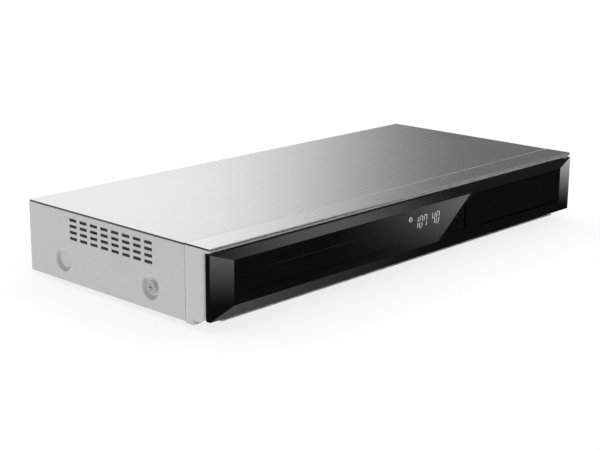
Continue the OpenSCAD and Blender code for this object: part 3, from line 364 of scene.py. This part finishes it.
def make_materials():
    """One finish for every material slot of the frame and of the added pieces."""
    surfaces = [
        brushed_aluminium(), painted_steel(), silver_frame(),
        black_gloss(), smoked_window(), lit_segments(),
        plastic("black_plastic", rgb(0.012, 0.012, 0.013), rgb(0.018, 0.018, 0.02)),
        plastic("grey_plastic", rgb(0.045, 0.046, 0.05), rgb(0.06, 0.062, 0.066)),
        dark_rubber(), zinc_steel(),
        metal("bright_steel", rgb(0.82, 0.82, 0.83), rgb(0.9, 0.9, 0.91), (0.2, 0.3)),
        metal("tin_plate", rgb(0.66, 0.66, 0.65), rgb(0.76, 0.76, 0.75), (0.24, 0.36)),
        metal("cast_aluminium", rgb(0.5, 0.51, 0.52), rgb(0.6, 0.61, 0.62), (0.4, 0.55), 0.0009,
              relief=0.00004),
        metal("heatsink_aluminium", rgb(0.62, 0.63, 0.65), rgb(0.72, 0.73, 0.75), (0.3, 0.42), 0.0005,
              (30, 1, 1)),
        metal("brass", rgb(0.72, 0.53, 0.22), rgb(0.8, 0.62, 0.3), (0.2, 0.3)),
        plastic("white_gear", rgb(0.72, 0.71, 0.68), rgb(0.8, 0.79, 0.76), rough=(0.35, 0.45)),
        circuit_board(), paper_board(),
        plastic("chip_black", rgb(0.014, 0.014, 0.015), rgb(0.024, 0.024, 0.026), rough=(0.5, 0.65)),
        winding_tape(), flat_cable(), wire_red(),
        plastic("yellow_insert", rgb(0.75, 0.5, 0.02), rgb(0.82, 0.57, 0.03), rough=(0.3, 0.42)),
        plastic("white_insert", rgb(0.72, 0.72, 0.7), rgb(0.8, 0.8, 0.78), rough=(0.3, 0.42)),
        plastic("red_insert", rgb(0.5, 0.015, 0.015), rgb(0.6, 0.025, 0.02), rough=(0.3, 0.42)),
        plastic("green_lens", rgb(0.03, 0.3, 0.05), rgb(0.05, 0.4, 0.08), rough=(0.15, 0.25)),
        plastic("amber_lens", rgb(0.6, 0.25, 0.02), rgb(0.7, 0.32, 0.03), rough=(0.15, 0.25)),
        plastic("blank_label", rgb(0.55, 0.56, 0.57), rgb(0.62, 0.63, 0.64), 0.0002, 0.000004,
                (0.35, 0.45)),
        plastic("screen_mesh", rgb(0.08, 0.08, 0.083), rgb(0.105, 0.105, 0.11)),
        plastic("pale_print", rgb(0.6, 0.6, 0.6), rgb(0.7, 0.7, 0.7)),
        metal("gold_plate", rgb(0.85, 0.62, 0.28), rgb(0.95, 0.72, 0.36), (0.15, 0.25)),
        metal("enamelled_copper", rgb(0.6, 0.22, 0.08), rgb(0.75, 0.32, 0.14), (0.2, 0.32)),
    ]
    SLOTS.update({s.name: s.material for s in surfaces})


def dress_frame():
    """Gives every carried-over node the finish of its material slot."""
    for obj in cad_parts.values():
        for place in obj.material_slots:
            place.material = SLOTS[place.material.name.split(".")[0]]


# How far the edges of moulded and pressed nodes are rounded, in millimetres
EDGE_WIDTHS = {
    "front_bezel": 0.35, "front_frame": 0.45, "top_plate": 0.2, "cover": 0.12, "feet": 0.6,
    "foot_pads": 0.3, "disc_tray": 0.3, "tray_door": 0.1, "flap": 0.1, "slot_panel": 0.2,
    "power_button": 0.3, "eject_button": 0.3, "hdmi_sockets": 0.12, "lan_socket": 0.2,
    "av_jacks": 0.2, "mains_inlet": 0.4, "coax_sockets": 0.2, "rear_panel": 0.1,
}


def bevel_edges(name, width, segments=2, angle=28):
    """Rounds a node's edges that turn by more than angle degrees."""
    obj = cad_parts[name]
    weld = obj.modifiers.new("weld", "WELD")
    weld.merge_threshold = 0.000002
    bevel = obj.modifiers.new("edges", "BEVEL")
    bevel.width = width
    bevel.segments = segments
    bevel.limit_method = "ANGLE"
    bevel.angle_limit = math.radians(angle)
    bevel.use_clamp_overlap = True


# ---- Mesh helpers ----

class Shape:
    """A mesh built up in millimetres."""

    def __init__(self):
        self.mesh = bmesh.new()

    def points(self, places):
        return [self.mesh.verts.new(place) for place in places]

    def skin(self, rows, closed=True):
        """Quads between neighbouring rows of vertices; a row of one vertex is a tip."""
        for a, b in zip(rows, rows[1:]):
            count = max(len(a), len(b))
            for i in range(count if closed else count - 1):
                j = (i + 1) % count
                corners = [a[i % len(a)], a[j % len(a)], b[j % len(b)], b[i % len(b)]]
                self.mesh.faces.new(list(dict.fromkeys(corners)))

    def box(self, low, high, edge=0.0):
        """A block between two corners, its edges rounded by edge."""
        verts = bmesh.ops.create_cube(self.mesh, size=1)["verts"]
        low, high = Vector(low), Vector(high)
        for vert in verts:
            vert.co = Vector(c * d for c, d in zip(vert.co, high - low)) + (low + high) / 2
        if edge:
            edges = list({e for v in verts for e in v.link_edges})
            bmesh.ops.bevel(self.mesh, geom=edges, offset=edge, segments=2, profile=0.5,
                            affect="EDGES")

    def lathe(self, at, axis, profile, count=32, ring=False):
        """Turns (radius, height) points round the axis through at; ring joins the last to the first."""
        rows = []
        for radius, height in profile:
            circle = round_points(radius, height, count if radius else 1)
            rows.append(self.points(toward(at, axis, p) for p in circle))
        self.skin(rows + rows[:1] if ring else rows)

    def tube(self, path, radius, count=8):
        """A round wire along a path of points."""
        rows = []
        for i, place in enumerate(path):
            along = Vector(path[min(i + 1, len(path) - 1)]) - Vector(path[max(i - 1, 0)])
            turn = along.to_track_quat("Z", "Y")
            circle = round_points(radius, 0, count)
            rows.append(self.points(Vector(place) + turn @ Vector(p) for p in circle))
        ends = [self.points([path[0]]), self.points([path[-1]])]
        self.skin([ends[0], *rows, ends[1]])

    def cross_screw(self, at, axis, radius, height):
        """A pan head with a cross recess, standing on at."""
        arm, half, floor_at = 0.56 * radius, 0.13 * radius, 0.35 * height
        head = ((1, 0), (1, 0.4), (0.93, 0.75), (0.75, 1))
        rows = []
        for out, up in head:
            circle = round_points(out * radius, up * height, 24)
            rows.append(self.points(toward(at, axis, p) for p in circle))
        self.mesh.faces.new(rows[0])
        self.skin(rows)
        quarter = [(arm, -half), (arm, half), (half, half)]
        turned = [Matrix.Rotation(k * math.pi / 2, 2) @ Vector(p) for k in range(4) for p in quarter]
        mouth = self.points(toward(at, axis, (p.x, p.y, height)) for p in turned)
        bottom = self.points(toward(at, axis, (p.x, p.y, floor_at)) for p in turned)
        self.skin([mouth, bottom])
        self.mesh.faces.new(bottom)
        rims = [self.mesh.edges.get((row[i], row[i - 1]))
                for row in (rows[-1], mouth) for i in range(len(row))]
        bmesh.ops.triangle_fill(self.mesh, edges=rims, use_beauty=True)

    def done(self, name, body, finish, smooth=32):
        bmesh.ops.recalc_face_normals(self.mesh, faces=self.mesh.faces)
        bmesh.ops.scale(self.mesh, vec=(MM, MM, MM), verts=self.mesh.verts)
        data = bpy.data.meshes.new(name)
        self.mesh.to_mesh(data)
        self.mesh.free()
        data.materials.append(SLOTS[finish])
        data.shade_smooth()
        data.set_sharp_from_angle(angle=math.radians(smooth))
        obj = bpy.data.objects.new(name, data)
        bpy.context.scene.collection.objects.link(obj)
        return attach(obj, body)


def round_points(radius, height, count):
    """Points round Z, all at one height."""
    turns = [2 * math.pi * i / count for i in range(count)]
    return [(radius * math.cos(t), radius * math.sin(t), height) for t in turns]


def toward(at, axis, place):
    """A point given with its height along Z, put at a place with that height along an axis."""
    turn = Vector(axis).to_track_quat("Z", "Y")
    return Vector(at) + turn @ Vector(place)


BACK, DOWN, UP = (0, 1, 0), (0, 0, -1), (0, 0, 1)


# ---- Back ----

JACKS = {"yellow": -126, "white": -112, "red": -98}
OPTICAL_X = -78


def fan_wheel():
    """Hub with seven pitched, curved blades."""
    hub, tip, front, rear, blades = 12, 17.5, 86, 93.3, 7
    shape = Shape()
    cap = [(0, 0), (hub - 0.4, 0), (hub, 0.4), (hub, 6.4), (hub - 1, 7.3), (4, 7.3), (3.6, 7.0), (0, 7.0)]
    shape.lathe((FAN_X, front, FAN_Z), BACK, cap, 48)
    shaft = [(0, 0), (1.5, 0), (1.5, 1.9), (0, 1.9)]
    shape.lathe((FAN_X, limit("fan_rotor", 0, Y), FAN_Z), BACK, shaft, 16)
    # degrees: where the first blade starts, its turn from front to rear, and its lean out to the tip
    start, turn, lean = -14, 47, 5
    steps, spans, thick, root = 8, 4, 0.45, hub - 0.5
    for blade in range(blades):
        loops = []
        for k in range(spans + 1):
            radius = root + (tip - root) * k / spans
            loop = []
            for side in (-1, 1):
                for i in range(steps + 1):
                    t = i / steps if side < 0 else 1 - i / steps
                    curve = math.sin(math.pi * t)
                    sweep = turn * (t + 0.1 * curve) + lean * k / spans
                    a = math.radians(blade * 360 / blades + start + sweep)
                    middle_y = front + 0.6 + (rear - front - 1.2) * t
                    y = middle_y + side * thick * (0.35 + curve) / 1.35
                    loop.append((FAN_X + radius * math.cos(a), y, FAN_Z + radius * math.sin(a)))
            loops.append(shape.points(loop))
        shape.skin(loops)
        for end in (loops[0], loops[-1]):
            shape.mesh.faces.new(end)
    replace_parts(shape.done("fan_wheel", "fan", "black_plastic"), "fan_rotor")


def jack_details():
    """A coloured insert with its two rings and a tin sleeve on each jack, and the optical lens."""
    collar = [(4.22, 0), (5.2, 0), (5.2, 0.9), (4.9, 1.2), (4.22, 1.2)]
    mouth = [(1.75, 0), (3.3, 0), (3.3, 0.3), (1.9, 0.3), (1.75, 0.15)]
    sleeve = [(4.18, 0), (4.45, 0), (4.45, 5.2), (4.3, 5.4), (3.4, 5.4), (3.4, 5.05), (4.18, 5.05)]
    sleeves = Shape()
    for colour, x in JACKS.items():
        insert = Shape()
        insert.lathe((x, PANEL_BACK + 1.22, JACK_Z), BACK, collar, 40, True)
        insert.lathe((x, PANEL_BACK + 7.52, JACK_Z), BACK, mouth, 32, True)
        insert.done(colour + "_jack_insert", "case", colour + "_insert")
        sleeves.lathe((x, PANEL_BACK + 2.5, JACK_Z), BACK, sleeve, 40, True)
    sleeves.done("jack_sleeves", "case", "tin_plate")
    lens = Shape()
    dome = [(0, 0), (1.6, 0), (1.6, 1), (1.2, 1.8), (0, 2.1)]
    lens.lathe((OPTICAL_X, PANEL_BACK - 5.95, JACK_Z), BACK, dome, 24)
    lens.done("optical_lens", "case", "red_insert")


def back_screws():
    """Screws of the rear panel and of the fan."""
    panel, fan = Shape(), Shape()
    places = ((-206, 50), (206, 50), (-206, 12), (-140, 48), (-105, 35), (-62, 14), (-60, 48),
              (-11, 27.4), (74, 30), (74, 48), (172, 12), (172, 32), (206, 40))
    for x, z in places:
        panel.cross_screw((x, PANEL_BACK, z), BACK, 2.8, 1.5)
    reach = 16
    for across in (-reach, reach):
        for up in (-reach, reach):
            fan.cross_screw((FAN_X + across, PANEL_BACK, FAN_Z + up), BACK, 3.1, 1.7)
    panel.done("panel_screws", "case", "bright_steel")
    fan.done("fan_screws", "case", "chip_black")


def dust_screens():
    """Fine woven mesh behind the side vents, in a flat border."""
    near, far, low, high = -45.5, 49.5, 36, 54.6
    pitch, wire, border = 0.7, 0.2, 1.2
    for side, name in ((-1, "left"), (1, "right")):
        outer, inner = side * (HALF_WIDTH - 1.3), side * (HALF_WIDTH - 1.55)
        flat = (side * (HALF_WIDTH - 1.9), side * (HALF_WIDTH - 1.05))
        shape = Shape()
        for i in range(int((far - near) / pitch)):
            y = near + (i + 0.5) * pitch
            shape.tube([(outer, y, low), (outer, y, high)], wire, 5)
        for i in range(int((high - low) / pitch)):
            z = low + (i + 0.5) * pitch
            shape.tube([(inner, near, z), (inner, far, z)], wire, 5)
        for y in (near, far - border):
            shape.box((flat[0], y, low), (flat[1], y + border, high))
        for z in (low, high - border):
            shape.box((flat[0], near, z), (flat[1], far, z + border))
        shape.done(name + "_dust_screen", "case", "screen_mesh")


def socket_contacts():
    """Gold contacts in the HDMI, network and USB sockets, and the network socket's two lamps."""
    gold = Shape()
    hdmi_middles = (37.5, 57)
    for x in hdmi_middles:
        for i in range(10):
            left = x - 4.7 + 0.99 * i
            gold.box((left, 86, 17.39), (left + 0.45, 92.9, 17.5))
    lan_x = middle("lan_socket", X)
    for i in range(8):
        x = lan_x - 3.57 + 1.02 * i
        spring = [(x, 93.9, 25.0), (x, 93.2, 24.9), (x, 88, 22.6), (x, 84, 21.3), (x, 83, 21.4)]
        gold.tube(spring, 0.2, 6)
    for i in range(4):
        left = middle("usb_socket", X) - 4 + 2.3 * i
        gold.box((left, -96.3, 23.5), (left + 1.1, -88, 23.61))
    gold.done("socket_contacts", "case", "gold_plate")
    for name, x in (("green", lan_x - 5.4), ("amber", lan_x + 5.4)):
        lamp = Shape()
        lamp.box((x - 1.4, 95.3, 25.7), (x + 1.4, 95.62, 26.8), 0.12)
        lamp.done(name + "_link_lamp", "case", name + "_lens")


# ---- Underside ----

def underside():
    """Screws, pressed beads and a blank label on the base, and a ring round each foot."""
    screws = Shape()
    places = [(x, y) for x in (-21, 69) for y in (-52, 81)]
    places += [(x, y) for x in (104, 202) for y in (14, 62)]
    places += [(x, y) for x in (-172, -44) for y in (-71.5, 58)]
    places += [(x, y) for x in (92, 122) for y in (-71.5, -8)]
    for x, y in places:
        screws.cross_screw((x, y, BASE_UNDER), DOWN, 2.9, 1.3)
    screws.done("base_screws", "case", "bright_steel")
    beads = Shape()
    for y in (-30, 52):
        for x in (-8, 84):
            beads.box((x, y - 3, BASE_UNDER - 0.5), (x + 70, y + 3, BASE_UNDER + 0.08), 0.45)
    beads.done("base_beads", "case", "zinc_steel")
    label = Shape()
    label.box((-112, -50, BASE_UNDER - 0.14), (-50, -12, BASE_UNDER - 0.01), 0.03)
    label.done("blank_rating_label", "case", "blank_label")
    rings = Shape()
    section = [(14.62, 0), (14.95, 0.3), (14.95, 0.9), (14.75, 1.2)]
    for x in (-170, 170):
        for y in (-50, 66):
            rings.lathe((x, y, 2.2), UP, section, 48, True)
    rings.done("foot_rings", "case", "chip_black")


# ---- Behind the flap ----

def key_marks():
    """Raised symbols on the two keys."""
    line = 0.17
    y = limit("power_button", 0, Y) - 0.02
    x, z = middle("power_button", X), middle("power_button", Z)
    power = Shape()
    bends = [math.radians(a) for a in range(40, 321, 20)]
    power.tube([(x + 1.5 * math.sin(a), y, z + 1.5 * math.cos(a)) for a in bends], line)
    power.tube([(x, y, z + 0.3), (x, y, z + 1.8)], line)
    power.done("power_mark", "power_key", "pale_print")
    x = middle("eject_button", X)
    left, right, bar, foot, peak = x - 1.4, x + 1.4, z - 1.2, z - 0.3, z + 1.5
    eject = Shape()
    corners = [(left, y, foot), (x, y, peak), (right, y, foot)]
    for a, b in zip(corners, corners[1:] + corners[:1]):
        eject.tube([a, b], line)
    eject.tube([(left, y, bar), (right, y, bar)], line)
    eject.done("eject_mark", "eject_key", "pale_print")


# ---- Inside ----

def board_parts():
    """Small chip parts strewn over the free areas of the main board."""
    areas = ((8, 21, -39, 10), (31, 42, 3, 48), (-27, -12, -45, 18), (-6, 8, 7, 44), (58, 72, 25, 46),
             (25, 60, -58, -43))
    across, along, loose = 3.4, 3.1, 0.3
    bodies, ends = Shape(), Shape()
    chance = random.Random(5)
    for left, right, near, far in areas:
        for row in range(int((far - near) / along)):
            for column in range(int((right - left) / across)):
                if chance.random() < 0.35:
                    continue
                x = left + across * (column + 0.5) + chance.uniform(-loose, loose)
                y = near + 1.5 + along * row + chance.uniform(-loose, loose)
                chip_part(bodies, ends, x, y, chance.random() < 0.6)
    bodies.done("chip_parts", "case", "chip_black")
    ends.done("chip_part_ends", "case", "tin_plate")
    tops = Shape()
    cap = [(0, 0), (2.9, 0), (2.9, 0.1), (2.7, 0.2), (0, 0.2)]
    for x, y in ((10, -46), (20, -46), (66, 8), (66, 20), (-22, 48), (-8, 48), (8, 50), (34, 56)):
        tops.lathe((x, y, BOARD_TOP + 8), UP, cap, 32)
    tops.done("capacitor_tops", "case", "heatsink_aluminium")


def chip_part(bodies, ends, x, y, lengthwise):
    """One chip part and its two tinned ends, lengthwise along X or across it."""
    long, wide, height = 0.9, 0.45, 0.5
    tin, proud = 0.22, 0.04
    half = (long, wide) if lengthwise else (wide, long)
    bodies.box((x - half[0], y - half[1], BOARD_TOP), (x + half[0], y + half[1], BOARD_TOP + height))
    end = (tin, wide + proud) if lengthwise else (wide + proud, tin)
    top = BOARD_TOP + height + 0.06
    for shift in (0.1 - long, long - 0.1):
        at = (x + shift, y) if lengthwise else (x, y + shift)
        ends.box((at[0] - end[0], at[1] - end[1], BOARD_TOP), (at[0] + end[0], at[1] + end[1], top))


def filter_choke():
    """Ring core with its winding, lying on the power board."""
    centre, ring, core, wire, turns = Vector((140, 18, BOARD_TOP + 3.6)), 6.2, 2.3, 0.42, 26
    core_shape, coil = Shape(), Shape()
    bends = [math.radians(a) for a in range(0, 360, 30)]
    section = [(ring + core * math.cos(a), core * math.sin(a)) for a in bends]
    core_shape.lathe(centre, UP, section, 40, True)
    core_shape.done("choke_core", "case", "chip_black")
    path = []
    steps = turns * 12
    for i in range(steps + 1):
        around, over = math.radians(20 + 320 * i / steps), math.radians(30 * i)
        reach = ring + (core + wire) * math.cos(over)
        rise = (core + wire) * math.sin(over)
        path.append(centre + Vector((reach * math.cos(around), reach * math.sin(around), rise)))
    coil.tube(path, wire, 6)
    coil.done("choke_winding", "case", "enamelled_copper")


def disk_details():
    """A blank label and the lid's screws on the hard disc."""
    label = Shape()
    label.box((-5, -38, 54.52), (51, 18, 54.64), 0.03)
    label.done("blank_disk_label", "case", "blank_label")
    screws = Shape()
    for x in (-20, 65.6):
        for y in (-54, 51):
            screws.cross_screw((x, y, 54.32), UP, 2.2, 0.6)
    screws.done("disk_lid_screws", "case", "bright_steel")


# ---- Floor, light and camera ----

def floor():
    """Wide pale floor that glows, so that it stays near white; gloss doesn't see it."""
    reach = 14
    mesh = bmesh.new()
    bmesh.ops.create_grid(mesh, x_segments=1, y_segments=1, size=reach)
    data = bpy.data.meshes.new("floor")
    mesh.to_mesh(data)
    mesh.free()
    obj = bpy.data.objects.new("floor", data)
    bpy.context.scene.collection.objects.link(obj)
    surface = Surface("floor", grey(0.3), 0.9, Specular_IOR_Level=0.0, Emission_Color=grey(1))
    surface.vary_colour(surface.noise(0.4), grey(0.29), grey(0.31))
    surface.set("Emission Strength", 0.71)
    # seen from below, the floor is clear
    below = node(surface.tree, "NewGeometry").outputs["Backfacing"]
    clear = node(surface.tree, "BsdfTransparent").outputs[0]
    shown = node(surface.tree, "MixShader", {0: below, 1: surface.shader.outputs[0], 2: clear}).outputs[0]
    surface.tree.links.new(shown, surface.tree.nodes["Material Output"].inputs["Surface"])
    data.materials.append(surface.material)
    obj.visible_glossy = False


def between(tree, value, edges):
    """1 between the two middle edges, falling smoothly to 0 at the outer ones."""
    up = span(tree, value, edges[0], edges[1])
    down = span(tree, value, edges[2], edges[3], 1.0, 0.0)
    return calc(tree, "MULTIPLY", up, down)


# Soft boxes that only gloss sees, in degrees: azimuth edges from +Y towards +X, elevation edges, strength
EVERYWHERE = (-400, -399, 399, 400)
SOFT_BOXES = (
    ((-12, 12, 41, 54.5), (-6, 4, 24, 36), 0.84),        # large box behind on the left, seen in the top
    ((-30, 5, 30, 60), (-70, -55, -12, -4), 0.35),       # its spill on the floor behind
    (EVERYWHERE, (46, 64, 90, 91), 1.0),                 # overhead
    (EVERYWHERE, (68, 82, 90, 91), -0.45),               # weaker right above
    ((160, 185, 260, 290), (-40, -20, 30, 45), 0.08),    # in front on the left
    ((90, 102, 124, 136), (35, 41, 50, 57), 0.9),        # thin upper edge of the black front
    ((42, 52, 86, 92), (-66, -56, -34, -26), 3.6),       # glints on its lower corners
    ((147, 149, 156, 158), (-18.6, -15.2, -13, -11), 2.6),  # its left facet
    ((101, 103.5, 108, 110), (-13.8, -9.5, -9, -7), 6.1),   # its right facet
    ((125.5, 131.5, 131.7, 138), (8, 11, 20, 25), 1.4),  # the left part of its upper facet
    ((111, 123, 140, 150), (-55, -46, -27, -23), 1.1),   # the left part of its lower facet
    ((114, 122, 150, 158), (-7, -3, 4, 8), 0.55),        # low strip in front that lights the lip's face
    ((-47, -45, -41, -39), (-22, -20, -12.5, -11), -0.59),  # dark card that the bezel's left side mirrors
    ((-112, -111, -90, -70), (-78, -66, -12, 4), -0.4),  # dark cards in front on the left, mirrored in
    ((210, 225, 251, 252), (-78, -66, -12, 4), -0.4),    # the stamped recesses of the left side
)
BELOW = 0.62         # pale floor, as gloss sees it
BELOW_FRONT = 0.015  # dark card in front on the right, mirrored in the gloss front
ABOVE = 0.105        # dim room, as gloss sees it
DOME = 1.03          # even light that everything but gloss sees


def wedge(tree, azimuth, elevation):
    """The slanting edge of a box of light in front on the right, mirrored in the flat front."""
    slant, edge_at_horizon, softness, reach, strength = -0.642, 116.95, 0.03, 4.7, 1.75
    edge = calc(tree, "MULTIPLY_ADD", elevation, slant, edge_at_horizon)
    inside = calc(tree, "SUBTRACT", azimuth, edge)
    edge_mask = span(tree, inside, -softness, softness)
    fade = calc(tree, "POWER", span(tree, inside, 0, reach, 1.0, 0.0, smooth=False), 1.25)
    height = span(tree, elevation, -16.4, -13.1, 0.05, 1.0)
    band = between(tree, elevation, (-19, -18, -12, -10))
    light = calc(tree, "MULTIPLY", calc(tree, "MULTIPLY", edge_mask, fade), calc(tree, "MULTIPLY", height, band))
    return calc(tree, "MULTIPLY", light, strength)


def studio_light():
    """Even light for what is matt, soft boxes for what is glossy and white for the camera."""
    world = bpy.data.worlds.new("studio")
    bpy.context.scene.world = world
    world.use_nodes = True
    tree = world.node_tree
    tree.nodes.clear()
    direction = node(tree, "TexCoord").outputs["Generated"]
    x, y, z = node(tree, "SeparateXYZ", {0: direction}).outputs[:3]
    degrees = 180 / math.pi
    azimuth = calc(tree, "MULTIPLY", calc(tree, "ARCTAN2", x, y), degrees)
    # azimuths run from -110 up to 250, so that no box is cut at the back
    behind = calc(tree, "LESS_THAN", azimuth, -110.0)
    azimuth = calc(tree, "MULTIPLY_ADD", behind, 360, azimuth)
    elevation = calc(tree, "MULTIPLY", calc(tree, "ARCSINE", z), degrees)
    card = between(tree, azimuth, (82, 97, 160, 172))
    below = span(tree, card, 0, 1, BELOW, BELOW_FRONT, smooth=False)
    horizon = span(tree, elevation, -10, 6)
    gloss = calc(tree, "ADD", calc(tree, "MULTIPLY", horizon, ABOVE),
                 calc(tree, "MULTIPLY", calc(tree, "SUBTRACT", 1.0, horizon), below))
    gloss = calc(tree, "ADD", gloss, wedge(tree, azimuth, elevation))
    for azimuths, elevations, strength in SOFT_BOXES:
        box = calc(tree, "MULTIPLY", between(tree, azimuth, azimuths), between(tree, elevation, elevations))
        gloss = calc(tree, "MULTIPLY_ADD", box, strength, gloss)
    path = node(tree, "LightPath")
    dome = node(tree, "Background", {"Color": grey(1), "Strength": DOME}).outputs[0]
    boxes = node(tree, "Background", {"Color": grey(1), "Strength": gloss}).outputs[0]
    white = node(tree, "Background", {"Color": grey(1), "Strength": 1.0}).outputs[0]
    light = node(tree, "MixShader", {0: path.outputs["Is Glossy Ray"], 1: dome, 2: boxes}).outputs[0]
    shown = node(tree, "MixShader", {0: path.outputs["Is Camera Ray"], 1: light, 2: white}).outputs[0]
    node(tree, "OutputWorld", {"Surface": shown})


def camera():
    """In front on the left and a little above, looking slightly down at the recorder."""
    place = (-0.7753, -0.7039, 0.2951)
    yaw, pitch, roll = math.radians(46.92), math.radians(14.94), math.radians(0.36)
    forward = Vector((math.sin(yaw) * math.cos(pitch), math.cos(yaw) * math.cos(pitch), -math.sin(pitch)))
    level = Vector((math.cos(yaw), -math.sin(yaw), 0))
    upright = level.cross(forward)
    right = level * math.cos(roll) + upright * math.sin(roll)
    up = upright * math.cos(roll) - level * math.sin(roll)
    data = bpy.data.cameras.new("camera")
    data.lens = 79.69
    data.clip_start, data.clip_end = 0.05, 60
    obj = bpy.data.objects.new("camera", data)
    turn = Matrix((right, up, -forward)).transposed().to_4x4()
    obj.matrix_world = Matrix.Translation(place) @ turn
    bpy.context.scene.collection.objects.link(obj)
    bpy.context.scene.camera = obj
    bpy.context.scene.view_settings.view_transform = "Standard"


# ---- The scene ----

camera()
studio_light()
floor()
make_materials()
dress_frame()
for edged, width in EDGE_WIDTHS.items():
    bevel_edges(edged, width * MM, 1 if edged == "cover" else 2)
fan_wheel()
jack_details()
back_screws()
socket_contacts()
dust_screens()
underside()
key_marks()
board_parts()
filter_choke()
disk_details()
